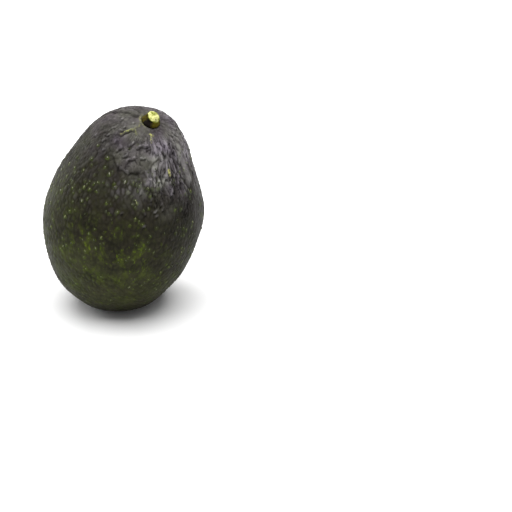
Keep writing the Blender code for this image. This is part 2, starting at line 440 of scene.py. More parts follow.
@dataclass(frozen=True)
class CorkyLenticel:
    """Lenticels: pores filled with dry cork, grown up through the skin. They look pale and matt.

    The young ones still look green, and the wax greys the old ones. Higher up they are greyer and
    paler, and each is paler on its upper side and darker on its lower side, as painted glint and shade.
    """

    young: str = "#8f973c"
    waxed_and_painted_glint: str = "#a39f97"
    dull: str = "#2f3510"
    roughness: float = 0.5

    def material(self) -> bpy.types.Material:
        """Builds the finish. It reads the attributes brightness and wax of the mesh.

        Returns:
            The material.
        """
        material, shader = new_material("corky_lenticel")
        tree = material.node_tree
        bright = add_node(tree, "Attribute", {"attribute_name": "brightness"})
        wax = add_node(tree, "Attribute", {"attribute_name": "wax"})
        # Upper sides and higher ones paler and greyer, partly painted glint; lower sides dull, partly painted
        # shade
        pale = add_node(tree, "Mix", BLEND | {6: self.young, 7: self.waxed_and_painted_glint}, {0: wax.outputs["Fac"]})
        colour = add_node(tree, "Mix", BLEND | {6: self.dull},
                          {0: bright.outputs["Fac"], 7: pale.outputs[2]})
        tree.links.new(colour.outputs[2], shader.inputs["Base Color"])
        shader.inputs["Roughness"].default_value = self.roughness
        return material


@dataclass(frozen=True)
class CutStalk:
    """The stalk's button: young wood with a bark skin, cut across with a clipper.

    The bark is olive, in blotches nearly black; its lit sides are painted olive and its other sides
    nearly black, as painted light and shade. The cut face stays pale yellow-green, with olive ends of the
    vessels in it, and is matt; one side of it and the grooves of the bark are painted darker as shade.
    """

    bark: str = "#474009"
    # Near black: the pith, and the painted shade on the bark's shaded sides, in its grooves and on one side
    # of the cut face
    hollow: str = "#0f0a06"
    cut_face: str = "#cccc88"
    cut_edge: str = "#7c8322"
    vessel: str = "#7f842c"
    roughness: float = 0.72
    specular: float = 0.06
    # Vessels and blotches are about 0.1 mm wide in life, and are drawn coarser here so that they show
    fibre_span: float = 1.4
    blotch_span: float = 0.9
    grain_depth: float = 0.08
    painted_lit_side_edge: Pair = (0.78, 1.4)
    vessel_edge: Pair = (0.49, 0.67)
    rim_edge: Pair = (0.2, 0.7)
    face_edge: Pair = (0.6, 0.95)

    def material(self) -> bpy.types.Material:
        """Builds the finish. It reads the attributes cut, hollow and painted_lit_side of the mesh.

        Returns:
            The material.
        """
        material, shader = new_material("cut_stalk_wood")
        tree = material.node_tree
        place = add_node(tree, "TexCoord").outputs["Object"]
        cut, hollow, painted_lit_side = [add_node(tree, "Attribute", {"attribute_name": name}).outputs["Fac"]
                              for name in ("cut", "hollow", "painted_lit_side")]
        blotch, grain = [add_node(tree, "TexNoise", {"Scale": per_metre(span), "Detail": 4.0},
                                  {"Vector": place}).outputs["Fac"]
                         for span in (self.blotch_span, self.fibre_span)]
        # The lit sides are painted olive and the others nearly black, as painted light and shade; the
        # blotches are the bark's own
        lit = add_node(tree, "Math", {"operation": "ADD"}, {0: blotch, 1: painted_lit_side}).outputs[0]
        olive, vessels, rim, top = [
            add_node(tree, "MapRange", limits("From", edge), {"Value": level}).outputs[0]
            for level, edge in (
                (lit, self.painted_lit_side_edge),
                (grain, self.vessel_edge),
                (cut, self.rim_edge),
                (cut, self.face_edge),
            )
        ]
        bark = add_node(tree, "Mix", BLEND | {6: self.hollow, 7: self.bark}, {0: olive})
        face = add_node(tree, "Mix", BLEND | {6: self.cut_face, 7: self.vessel}, {0: vessels})
        sides = add_node(tree, "Mix", BLEND | {7: self.cut_edge}, {0: rim, 6: bark.outputs[2]})
        whole = add_node(tree, "Mix", BLEND, {0: top, 6: sides.outputs[2], 7: face.outputs[2]})
        # Darker in the pith, and painted shade in the bark's grooves and on one side of the cut face
        shaded = add_node(tree, "Mix", BLEND | {7: self.hollow}, {0: hollow, 6: whole.outputs[2]})
        tree.links.new(shaded.outputs[2], shader.inputs["Base Color"])
        bump = add_node(tree, "Bump", {"Strength": 1.0, "Distance": self.grain_depth * MM}, {"Height": grain})
        tree.links.new(bump.outputs[0], shader.inputs["Normal"])
        shader.inputs["Roughness"].default_value = self.roughness
        shader.inputs["Specular IOR Level"].default_value = self.specular
        return material


@dataclass(frozen=True)
class SeamlessPaper:
    """The floor: matt white background paper, which takes a soft shadow."""

    colour: str = "#f7f7f7"
    roughness: float = 0.9

    def material(self) -> bpy.types.Material:
        """Builds the finish.

        Returns:
            The material.
        """
        material, shader = new_material("seamless_paper")
        shader.inputs["Base Color"].default_value = linear_colour(self.colour)
        shader.inputs["Roughness"].default_value = self.roughness
        return material


@dataclass(frozen=True)
class Swell:
    """A broad bump of the body, or a hollow when its height is negative."""

    middle: Triple
    height: float
    reach: float


@dataclass(frozen=True)
class Body:
    """The avocado's smooth body, on a leaning centreline. The same form as in the part's source."""

    height: float = 96.0
    girth_radius: float = 34.8
    taper: float = 0.131
    tuck: float = 0.143
    bluntness: float = 0.282
    depth_ratio: float = 0.985
    lean: Pair = (1.3, -2.0)
    bow: Pair = (10.3, -4.0)
    flat_middle: Triple = (0.25, 0.3, 1.45)

    def points(self, directions: np.ndarray) -> np.ndarray:
        """Finds the smooth body's surface.

        Args:
            directions: unit vectors from its middle, one row each.

        Returns:
            The surface point in each direction, in mm.
        """
        up = directions[:, 2]
        rise = (1 + up) / 2
        girth = self.girth_radius * (1 - self.taper * up - self.tuck * up**2 + self.bluntness * up**4)
        return np.stack([
            self.lean[0] * rise + self.bow[0] * rise**2 + girth * directions[:, 0],
            self.lean[1] * rise + self.bow[1] * rise**2 + girth * self.depth_ratio * directions[:, 1],
            self.height * rise,
        ], axis=1) - self.flat_middle

    def normals(self, directions: np.ndarray) -> np.ndarray:
        """The way out of the body in each of these directions."""
        radii = (self.girth_radius, self.girth_radius * self.depth_ratio, self.height / 2)
        return unit(directions / radii)


@dataclass(frozen=True)
class StemSeat:
    """The place of the stem: a dimple in the crown, with ribs running out from it."""

    direction: Triple = (0.220, -0.231, 0.948)
    dimple_depth: float = 1.0
    dimple_reach: float = 6.0
    seat_sink: float = 0.7
    button_radius: float = 3.95
    under_button: float = 1.3
    under_edge: Pair = (3.25, 4.25)
    swell_height: float = 0.3
    swell_radius: float = 4.95
    swell_width: float = 0.8
    lip_radius: float = 4.55
    lip_width: float = 0.6
    lip_lit_side: Triple = (-0.95, -0.3, 0.1)
    lip_spread: Pair = (0.45, 1.0)
    rib_height: float = 0.7
    rib_frequency: float = 1.9
    rib_start: float = 14.0
    rib_fade: float = 30.0
    wrinkle_spacing: float = 3.0
    wrinkle_length: float = 9.0
    wrinkle_ring: float = 28.0
    wrinkle_wander: float = 1.8
    wander_span: float = 9.0
    wrinkle_jag: float = 0.35
    jag_span: float = 2.6
    groove_width: float = 0.09
    fine_groove_width: float = 0.12
    wrinkle_patch_span: float = 11.0
    wrinkle_patch_edge: Pair = (-0.2, 0.15)

    def anchor(self, body: Body) -> tuple[np.ndarray, np.ndarray]:
        """The point of the smooth body under the stem, in mm, and the way out of it."""
        direction = unit(np.array([self.direction]))
        return body.points(direction)[0], body.normals(direction)[0]

    def spokes(self, points: np.ndarray, body: Body) -> tuple[np.ndarray, np.ndarray, np.ndarray]:
        """Finds how places lie round the stem.

        Args:
            points: places on the smooth body, in mm.
            body: the smooth body.

        Returns:
            Each place's distance from the stem in mm, the stem's axis, and the way from the axis to
            each place.
        """
        middle, axis = self.anchor(body)
        away = points - middle
        across = away - np.outer(away @ axis, axis)
        return np.linalg.norm(away, axis=1), axis, unit(across + 1e-6)

    def relief(self, points: np.ndarray, body: Body) -> np.ndarray:
        """Height of dimple and ribs above the smooth body.

        Args:
            points: places on the smooth body, in mm.
            body: the smooth body.

        Returns:
            One height in mm for each place.
        """
        distance, _, spokes = self.spokes(points, body)
        dimple = -self.dimple_depth * bell(distance, self.dimple_reach)
        ribs = self.rib_height * perlin(
            spokes * self.rib_frequency + np.outer(distance / self.rib_fade, (0.0, 0.0, 1.0)), 1.0
        )
        fade = smooth_rise(distance, self.button_radius, self.rib_start) * bell(distance, self.rib_fade)
        swell = self.swell_height * bell(distance - self.swell_radius, self.swell_width)
        under = -self.under_button * (1 - smooth_rise(distance, *self.under_edge))
        return dimple + ribs * fade + swell + under

    def wrinkles(self, points: np.ndarray, body: Body) -> tuple[np.ndarray, np.ndarray]:
        """Wrinkles that run out from the stem and down the fruit, wandering as they go.

        Args:
            points: places on the smooth body, in mm.
            body: the smooth body.

        Returns:
            For each place, how deep it is in a groove from 0 to 1, and how high on the pillow between
            two grooves, from 0 to about 1.
        """
        distance, axis, spokes = self.spokes(points, body)
        ring = spokes * self.wrinkle_ring / self.wrinkle_spacing
        ring[:, :2] += self.wrinkle_wander * drift(points, self.wander_span, (0.0, 50.0))
        # A quick second wander makes the grooves jagged
        ring[:, :2] += self.wrinkle_jag * drift(points, self.jag_span, (20.0, 70.0))
        along = np.outer(distance / self.wrinkle_length, axis)
        coarse = perlin(ring + along, 1.0)
        fine = perlin(2 * ring + 1.4 * along + 20.0, 1.0)
        groove = 0.8 * np.maximum(bell(coarse, self.groove_width), bell(fine, self.fine_groove_width))
        # They come in patches, with smoother skin between
        patches = perlin(points + 30.0, self.wrinkle_patch_span)
        groove *= 0.25 + 0.75 * smooth_rise(patches, *self.wrinkle_patch_edge)
        return groove, np.clip(2.0 * np.abs(coarse) + 0.8 * np.abs(fine), 0, 1)

    def lip(self, points: np.ndarray, body: Body) -> np.ndarray:
        """Finds the pale rim of skin beside the button, shown on its lit side only: partly its own colour,
        partly painted highlight.

        Args:
            points: places on the smooth body, in mm.
            body: the smooth body.

        Returns:
            One share from 0 to 1 for each place.
        """
        middle, _ = self.anchor(body)
        away = points - middle
        distance = np.linalg.norm(away, axis=1)
        side = unit(away + 1e-6) @ unit(np.array(self.lip_lit_side))
        return bell(distance - self.lip_radius, self.lip_width) * smooth_rise(side, *self.lip_spread)


@dataclass(frozen=True)
class Dent:
    """The shallow dent in the front. Its floor slopes out from top to bottom, and ends in a low ledge."""

    direction: Triple = (0.06, -0.72, 0.69)
    depth: float = 1.1
    reach: Triple = (9.0, 9.0, 7.5)
    edge: Pair = (0.65, 1.2)
    slope: Pair = (-0.9, 0.9)
    ledge_height: float = 0.45

    def window(self, points: np.ndarray, body: Body) -> tuple[np.ndarray, np.ndarray]:
        """Finds what lies in the dent.

        Args:
            points: places on the smooth body, in mm.
            body: the smooth body.

        Returns:
            For each place, 1 inside the dent falling to 0 outside it, and 0 at its top to 1 at its foot.
        """
        middle = body.points(unit(np.array([self.direction])))[0]
        spread = (points - middle) / np.array(self.reach)
        inside = 1 - smooth_rise(np.linalg.norm(spread, axis=1), *self.edge)
        return inside, smooth_rise(-spread[:, 2], *self.slope)

    def relief(self, points: np.ndarray, body: Body) -> np.ndarray:
        """Height of the dent and its ledge above the smooth body, in mm."""
        inside, low = self.window(points, body)
        return inside * (-self.depth * (1 - low) + self.ledge_height * low)


@dataclass(frozen=True)
class Mark:
    """A fold, crease or scar along a path on the skin, in mm.

    A negative height cuts into the skin, and the cut is painted darker as shade. A fold may have an
    undercut, the groove along its lower side, painted darker as shade, and a pale top, partly dusting
    and partly painted glint.
    """

    path: tuple[Triple, ...]
    height: float
    width: float
    scar: float = 0.0
    undercut: float = 0.0
    dust_and_painted_glint: float = 0.6
    reach_depth: float = 2.0

    def nearness(self, points: np.ndarray, normals: np.ndarray) -> np.ndarray:
        """How near each place is to the path, measured along the skin: 1 on it, 0 away from it.

        Args:
            points: places in mm.
            normals: the way out of the skin at each place.

        Returns:
            One share for each place.
        """
        least = np.full(len(points), np.inf)
        corners = np.array(self.path)
        for start, end in zip(corners[:-1], corners[1:]):
            run = end - start
            share = np.clip((points - start) @ run / (run @ run), 0, 1)
            away = points - start - np.outer(share, run)
            deep = np.sum(away * normals, axis=1)
            # Far under or over the skin, a path doesn't reach it
            deep = np.where(np.abs(deep) < self.reach_depth, deep, 0.0)
            least = np.minimum(least, np.linalg.norm(away - deep[:, None] * normals, axis=1))
        return bell(least, self.width)


@dataclass(frozen=True)
class Pebbles:
    """The pebbles of the skin, evenly scattered, some with a pore on top."""

    spacing: float = 2.1
    length: float = 1.35
    height: float = 0.3
    crease_width: float = 0.7
    scatter: float = 0.34
    pore_share: float = 0.25
    pore_reach: float = 0.85
    pore_drop: float = 0.35
    # Pores grow fewer from here up to the crown, and from here down to the foot
    pore_top: Pair = (66.0, 82.0)
    pore_foot: Pair = (6.0, 24.0)
    belt_height: float = 69.5
    belt_width: float = 6.0
    cluster_span: float = 9.0
    bend: float = 1.0
    bend_span: float = 2.6
    least_size: float = 0.35
    least_strength: float = 0.15
    seed: int = 7

    def directions(self) -> np.ndarray:
        """Spreads the pebbles evenly in a spiral, each moved a little at random.

        Returns:
            Directions of their middles from the middle of the body, one row each.
        """
        radius = Body().girth_radius
        count = round(4 * math.pi * radius**2 / (self.spacing**2 * math.sqrt(3) / 2))
        number = np.arange(count)
        up = 1 - 2 * (number + 0.5) / count
        turn = number * math.pi * (3 - math.sqrt(5))
        out = np.sqrt(1 - up**2)
        even = np.stack([out * np.cos(turn), out * np.sin(turn), up], axis=1)
        stray = np.random.default_rng(self.seed).uniform(-1, 1, (count, 3))
        return unit(even + stray * self.scatter * self.spacing / radius)

    def pores(self, body: Body) -> np.ndarray:
        """How strong each pebble's pore is, 0 to 1. They crowd in clusters and in a belt below the crown.

        Args:
            body: the smooth body.

        Returns:
            One strength for each pebble. Many are 0.
        """
        middles = body.points(self.directions())
        height = middles[:, 2]
        draw = np.random.default_rng(self.seed + 1)
        crowd = 0.5 + 1.1 * perlin(middles, self.cluster_span)
        spread = (1 - smooth_rise(height, *self.pore_top)) * smooth_rise(height, *self.pore_foot)
        belt = bell(height - self.belt_height, self.belt_width)
        likely = self.pore_share * (2 * crowd * (0.1 + 0.9 * spread) + 0.8 * belt)
        has_pore = draw.uniform(0, 1, len(middles)) < likely
        strength = draw.uniform(self.least_strength, 1, len(middles)) ** 1.8
        return has_pore * (strength * (1 - 0.2 * belt) + 0.2 * belt)

    def cover(self, points: np.ndarray, body: Body) -> tuple[np.ndarray, np.ndarray, np.ndarray]:
        """Lays the pebbles over the skin.

        Args:
            points: places on the smooth body, in mm.
            body: the smooth body.

        Returns:
            For each place, the pebble's height from 0 to 1, how far it is from a crease from 0 to 1, and
            how strongly a pore tints it from 0 to 1.
        """
        middles = body.points(self.directions())
        # Measured from bent places, the borders of the cells wander
        bent = points + self.bend * drift(points, self.bend_span, (33.0, 63.0, 93.0))
        # Measured in squeezed heights, the cells come out longer from top to bottom
        squeeze = np.array([1.0, 1.0, 1 / self.length])
        tree = KDTree(len(middles))
        for number, middle in enumerate(middles * squeeze):
            tree.insert(middle, number)
        tree.balance()
        nearest = [tree.find_n(place, 2) for place in bent * squeeze]
        first = np.array([found[0][2] for found in nearest])
        second = np.array([found[1][2] for found in nearest])
        owner = np.array([found[0][1] for found in nearest])
        sizes = np.random.default_rng(self.seed + 2).uniform(self.least_size, 1.0, len(middles))[owner]
        crease = 1 - bell(second - first, self.crease_width)
        roundness = 1 - 0.4 * np.clip(first / self.spacing, 0, 1) ** 2
        beside = points - middles[owner] + (0.0, 0.0, self.pore_drop)
        pore = self.pores(body)[owner] * bell(np.linalg.norm(beside, axis=1), self.pore_reach)
        return crease * roundness * sizes, crease, pore


@dataclass
class Covering:
    """What covers the smooth body: its lift in mm, and shares from 0 to about 1, for each place."""

    lift: np.ndarray
    calm: np.ndarray  # how far the relief has grown from the resting flat
    inside: np.ndarray  # what lies in the dent
    rough: np.ndarray  # how rough the pebbles are
    dome: np.ndarray  # the height of the pebbles
    rough_tops: np.ndarray  # the height of the rough ones
    crease: np.ndarray  # how far it is to the creases between them
    pore: np.ndarray  # how strongly their pores tint them
    wrinkled: np.ndarray  # how wrinkled the skin is
    pillow: np.ndarray  # the height of the skin between two wrinkles
    band: np.ndarray  # how near the smooth band is
    shade: np.ndarray  # the painted shade in the grooves and under the folds
    scar: np.ndarray  # how scarred the skin is
    fold: np.ndarray  # how pale the folds' tops are, partly dusting and partly painted glint


@dataclass(frozen=True)
class Fruit:
    """The whole fruit: body, swells, stem seat, dent, wrinkles and pebbles, as one closed skin."""

    body: Body = Body()
    seat: StemSeat = StemSeat()
    dent: Dent = Dent()
    pebbles: Pebbles = Pebbles()
    swells: tuple[Swell, ...] = (
        Swell(middle=(36.0, 0.0, 68.0), height=-0.9, reach=12.0),
        Swell(middle=(38.5, 0.0, 44.0), height=1.1, reach=12.0),
        Swell(middle=(22.0, -10.0, 9.0), height=-1.1, reach=10.0),
        Swell(middle=(-32.0, -8.0, 34.0), height=-0.8, reach=15.0),
        Swell(middle=(-13.0, 0.0, 82.0), height=-0.6, reach=12.0),
        Swell(middle=(10.0, 2.0, 94.0), height=-0.7, reach=10.0),
        Swell(middle=(-18.0, -14.0, 6.5), height=-0.9, reach=8.0),
        Swell(middle=(14.0, 28.0, 60.0), height=-0.9, reach=12.0),
        Swell(middle=(-12.0, 31.0, 38.0), height=0.8, reach=12.0),
        # Finer than the solid's own swells: the brow of the right shoulder
        Swell(middle=(32.5, 0.0, 73.0), height=0.6, reach=5.0),
        # The hollow under the dent's rim
        Swell(middle=(5.2, -30.2, 74.0), height=-0.3, reach=3.6),
    )
    marks: tuple[Mark, ...] = (
        # The folded scar left of the stem, with its two branches
        Mark(path=((5.6, -21.5, 88.1), (8.1, -20.8, 89.1), (10.5, -20.0, 89.7), (11.8, -20.1, 89.5)),
             height=0.3, width=0.32, scar=0.62, undercut=0.55),
        Mark(path=((11.8, -20.1, 89.5), (12.4, -21.6, 88.1)), height=0.2, width=0.3, scar=0.5),
        Mark(path=((11.8, -19.9, 89.6), (13.1, -18.0, 90.7), (14.2, -14.2, 91.3)),
             height=0.2, width=0.4, scar=0.25),
        # The thin streak below the stem, with a pale dot at its top that is partly painted glint
        Mark(path=((18.5, -19.4, 87.3), (18.7, -19.7, 86.9)), height=0.3, width=0.5, scar=1.8),
        Mark(path=((18.4, -20.5, 86.4), (18.6, -21.7, 84.6)), height=0.15, width=0.35, scar=1.0),
        # The dent's rim at its lower left, and the crease under it
        Mark(path=((3.2, -25.6, 81.3), (3.9, -27.2, 79.2), (5.2, -28.5, 77.5), (7.3, -29.5, 76.1),
                   (9.7, -29.8, 74.9)), height=0.4, width=0.6, undercut=0.2, dust_and_painted_glint=0.25),
        Mark(path=((10.3, -29.9, 74.3), (13.2, -29.4, 74.4)), height=-1.2, width=0.7),
        # Short folds in the dent
        Mark(path=((13.0, -24.2, 83.6), (14.8, -23.7, 84.0), (17.2, -22.8, 84.0)),
             height=0.4, width=0.4, undercut=0.6),
        Mark(path=((7.0, -26.7, 80.9), (8.5, -26.0, 81.3)), height=0.3, width=0.4, undercut=0.5),
        Mark(path=((8.9, -27.7, 79.0), (10.1, -27.2, 80.0), (11.9, -26.7, 79.9)),
             height=0.35, width=0.4, undercut=0.55),
        Mark(path=((4.8, -24.9, 82.9), (6.3, -24.1, 84.5)), height=0.3, width=0.5, undercut=0.4),
        Mark(path=((9.4, -24.0, 84.1), (11.5, -23.2, 85.8)), height=0.3, width=0.5, undercut=0.4),
        Mark(path=((14.9, -26.2, 79.8), (16.3, -25.3, 79.7)), height=0.4, width=0.5, undercut=0.4),
        Mark(path=((16.9, -24.2, 81.6), (17.8, -23.4, 82.3)), height=-0.6, width=0.6),
        # Short grooves right of the stem
        Mark(path=((26.6, -16.4, 81.6), (27.3, -16.8, 80.1)), height=-0.6, width=0.6),
        Mark(path=((28.1, -14.9, 80.0), (29.3, -14.2, 78.4)), height=-0.6, width=0.6),
        Mark(path=((23.3, -21.9, 79.7), (24.0, -22.3, 77.9)), height=-0.6, width=0.7),
        Mark(path=((26.9, -11.9, 85.5), (27.9, -11.1, 83.9)), height=-0.5, width=0.6),
        # The rib below the stem, and the long folds and grooves down the right shoulder
        Mark(path=((21.6, -20.6, 83.8), (22.3, -22.5, 80.6), (22.6, -23.7, 77.5), (23.7, -23.9, 75.2)),
             height=0.6, width=0.7),
        Mark(path=((27.2, -17.5, 79.4), (28.0, -18.3, 75.3), (29.5, -18.7, 71.1), (31.5, -17.3, 66.9)),
             height=0.5, width=0.8),
        Mark(path=((26.2, -19.3, 78.7), (27.6, -18.9, 75.7), (29.2, -19.2, 70.9), (31.9, -17.4, 65.3),
                   (33.7, -15.9, 61.2)), height=-0.7, width=0.8),
        Mark(path=((27.9, -22.0, 68.7), (28.1, -23.4, 64.1)), height=-0.6, width=0.8),
        Mark(path=((22.2, -26.9, 69.7), (22.2, -27.7, 67.5), (22.4, -28.4, 64.7)), height=0.5, width=0.6),
        Mark(path=((24.5, -25.6, 69.2), (25.2, -25.8, 67.2), (26.5, -25.4, 64.9), (26.7, -25.7, 63.2)),
             height=0.5, width=0.6),
        # The pale fleck on the right shoulder
        Mark(path=((25.5, -23.3, 73.2), (26.0, -23.2, 71.8), (26.0, -23.4, 70.9)),
             height=0.4, width=0.5, scar=1.7, undercut=0.3),
        # Two grooves that run round the crown behind the stem, with a low fold between them
        Mark(path=((-5.0, -3.5, 89.1), (-0.9, -5.5, 91.7), (3.9, -8.3, 93.5), (8.6, -11.0, 94.1),
                   (12.4, -13.0, 93.1)), height=-0.8, width=0.8),
        Mark(path=((1.5, -6.2, 93.2), (5.5, -6.6, 93.9), (9.8, -7.9, 94.2), (12.9, -10.0, 93.8)),
             height=0.4, width=0.7, dust_and_painted_glint=0.4),
        Mark(path=((3.0, -3.4, 93.5), (7.4, -5.0, 93.9), (10.5, -6.3, 94.3), (13.3, -9.4, 93.9)),
             height=-0.8, width=0.8),
        # Pale streaks at the foot of the right shoulder
        Mark(path=((24.5, -25.7, 68.8), (25.3, -26.0, 66.7), (26.2, -25.9, 63.9)), height=0.3, width=0.5),
        Mark(path=((22.1, -27.8, 67.4), (22.3, -28.5, 64.5)), height=0.3, width=0.4),
    )
    # Small blisters on the brow left of the stem, and below the dent
    blisters: tuple[Triple, ...] = (
        (6.1, -14.2, 92.5), (10.8, -16.9, 91.7), (7.6, -18.7, 90.6), (2.9, -17.6, 89.9), (5.7, -20.1, 89.5),
        (0.6, -20.2, 87.2), (-5.1, -16.3, 86.1), (3.6, -23.2, 85.6), (-1.4, -21.2, 85.1), (-1.0, -23.6, 82.7),
        (11.7, -30.6, 71.3), (18.2, -31.1, 63.1), (17.4, -31.8, 61.2), (22.1, -29.7, 60.1),
        (23.0, -29.7, 58.2), (6.3, -34.8, 58.9), (19.8, -31.5, 57.9), (15.9, -33.3, 57.8),
        (20.1, -31.7, 55.9), (15.1, -34.4, 52.1),
    )
    blister_height: float = 0.4
    blister_radius: float = 0.45
    blister_dust_and_painted_glint: Pair = (0.28, 0.6)
    blister_painted_glint_height: Pair = (64.0, 82.0)
    # The smooth band down the right shoulder
    band: Mark = Mark(path=((28.7, -14.0, 79.5), (30.3, -14.4, 75.1), (31.9, -14.3, 70.0),
                            (33.3, -14.1, 66.0)), height=0.25, width=2.0)
    mark_wobble: float = 0.8
    wobble_span: float = 1.9
    lump_span: float = 1.5
    # Where the groove under a fold lies, as seen from the fold
    undercut_place: Triple = (0.0, -0.4, -1.1)
    unevenness: float = 0.3
    unevenness_span: float = 16.0
    grid_steps: int = 128
    finest_side: Triple = (0.3, -0.75, 0.6)
    grid_pull: float = 0.25
    # Where the relief grows from the resting flat, and, by the distance from the stem's middle, where
    # the base of the pebbles, the pebbles and the wrinkles grow from the stem
    calm_base: Pair = (0.5, 6.0)
    base_start: Pair = (4.0, 9.0)
    pebble_start: Pair = (6.0, 26.0)
    wrinkle_start: Pair = (5.0, 14.0)
    pebble_base: float = 0.2
    wrinkle_height: float = 0.55
    # The pebbles are rough at the left and behind, and fade in patches elsewhere
    rough_side: Triple = (-0.8, 0.6, 0.0)
    rough_reach: Pair = (8.0, 34.0)
    fade_span: float = 7.0
    # Where the skin wrinkles: from this far right, up and back on the shoulder, and on the crown
    shoulder_side: Pair = (8.0, 24.0)
    shoulder_height: Pair = (42.0, 70.0)
    shoulder_back: Pair = (0.0, 24.0)
    crown_height: Pair = (66.0, 86.0)
    crown_side: Pair = (4.0, 22.0)
    border_wander: float = 16.0
    border_span: float = 12.0
    # Where the wrinkles' tops and the pebbles' tops are pale, partly with dusting and partly as painted sheen
    # from the lights
    painted_sheen_side: Pair = (0.0, 22.0)
    painted_sheen_height: Pair = (56.0, 74.0)
    painted_sheen_back: Pair = (-4.0, 16.0)
    painted_sheen_tops_height: Pair = (50.0, 66.0)
    painted_sheen_middle: Triple = (12.0, -31.0, 70.0)
    painted_sheen_reach: float = 9.0
    # Where the skin is darker: a patch left of the stem, painted shade round the foot and a painted shadow on
    # the right flank
    dark_patch: float = 0.28
    dark_patch_middle: Triple = (0.0, -20.0, 87.0)
    dark_patch_reach: float = 10.0
    foot_painted_shade_height: Pair = (0.0, 16.0)
    flank_painted_shadow_side: Pair = (20.0, 32.0)
    flank_painted_shadow_height: Pair = (54.0, 68.0)
    # Where the skin is greenest, and where it ripens, which starts lower at the right
    green_middle: Triple = (-1.0, -34.0, 38.0)
    green_reach: float = 16.0
    ripe_height: Pair = (44.0, 68.0)
    ripe_tilt: float = 0.5
    rim_softness: float = 0.5
    blossom_scar_radius: Pair = (1.3, 1.9)

    def ball(self) -> tuple[np.ndarray, np.ndarray]:
        """A unit ball of four-sided faces, smallest on the side with the finest relief.

        Returns:
            Its points and its faces.
        """
        mesh = bpy.data.meshes.new("ball")
        cube = bpy.data.objects.new("ball", mesh)
        corners = [(x, y, z) for x in (-1, 1) for y in (-1, 1) for z in (-1, 1)]
        sides = [(0, 1, 3, 2), (4, 6, 7, 5), (0, 4, 5, 1), (2, 3, 7, 6), (0, 2, 6, 4), (1, 5, 7, 3)]
        mesh.from_pydata(corners, [], sides)
        bpy.context.scene.collection.objects.link(cube)
        split = cube.modifiers.new("split", "SUBSURF")
        split.subdivision_type = "SIMPLE"
        split.levels = split.render_levels = int(math.log2(self.grid_steps))
        fine = cube.evaluated_get(bpy.context.evaluated_depsgraph_get()).to_mesh()
        points = np.empty(len(fine.vertices) * 3)
        fine.vertices.foreach_get("co", points)
        faces = np.empty(len(fine.loops), dtype=int)
        fine.loops.foreach_get("vertex_index", faces)
        bpy.data.objects.remove(cube)
        # The tangent spreads the grid evenly over the ball, and the pull draws it closer on one side
        even = unit(np.tan(points.reshape(-1, 3) * math.pi / 4))
        return unit(even + self.grid_pull * unit(np.array(self.finest_side))), faces.reshape(-1, 4)

    def broad_relief(self, points: np.ndarray) -> np.ndarray:
        """Height of everything wider than a pebble above the smooth body.

        Args:
            points: places on the smooth body, in mm.

        Returns:
            One height in mm for each place.
        """
        height = self.unevenness * perlin(points, self.unevenness_span)
        for swell in self.swells:
            height += swell.height * bell(distance_from(points, swell.middle), swell.reach)
        height += self.seat.relief(points, self.body) + self.dent.relief(points, self.body)
        return height * smooth_rise(points[:, 2], *self.calm_base)

    def border(self, points: np.ndarray, shift: float) -> np.ndarray:
        """Height of each place in mm, changed by a noise, so that borders set by height wander."""
        return points[:, 2] + self.border_wander * perlin(points + shift, self.border_span)

    def wrinkled(self, points: np.ndarray) -> np.ndarray:
        """How wrinkled the skin is: most on the crown and on the right shoulder.

        Args:
            points: places on the smooth body, in mm.

        Returns:
            One share from 0 to 1 for each place.
        """
        shoulder = smooth_rise(points[:, 0], *self.shoulder_side)
        shoulder *= smooth_rise(self.border(points, 40.0), *self.shoulder_height)
        shoulder *= 1 - 0.5 * smooth_rise(points[:, 1], *self.shoulder_back)
        crown = smooth_rise(points[:, 2], *self.crown_height)
        crown *= 0.2 + 0.3 * smooth_rise(points[:, 0], *self.crown_side)
        inside, _ = self.dent.window(points, self.body)
        return (0.2 + 0.8 * np.maximum(shoulder, crown)) * (1 - 0.7 * inside)

    def blister(self, place: Triple) -> Mark:
        """Makes a small blister with its undercut painted darker as shade and its top paler, partly dusting
        and partly painted glint that grows the higher it lies on the fruit.

        Args:
            place: its lower end on the skin, in mm.

        Returns:
            The blister as a short fold.
        """
        low, high = self.blister_dust_and_painted_glint
        share = float(smooth_rise(np.array(place[2]), *self.blister_painted_glint_height))
        top = (place[0] + self.blister_radius, place[1], place[2] + self.blister_radius)
        return Mark(path=(place, top), height=self.blister_height, width=self.blister_radius,
                    undercut=self.blister_height, dust_and_painted_glint=low + (high - low) * share)

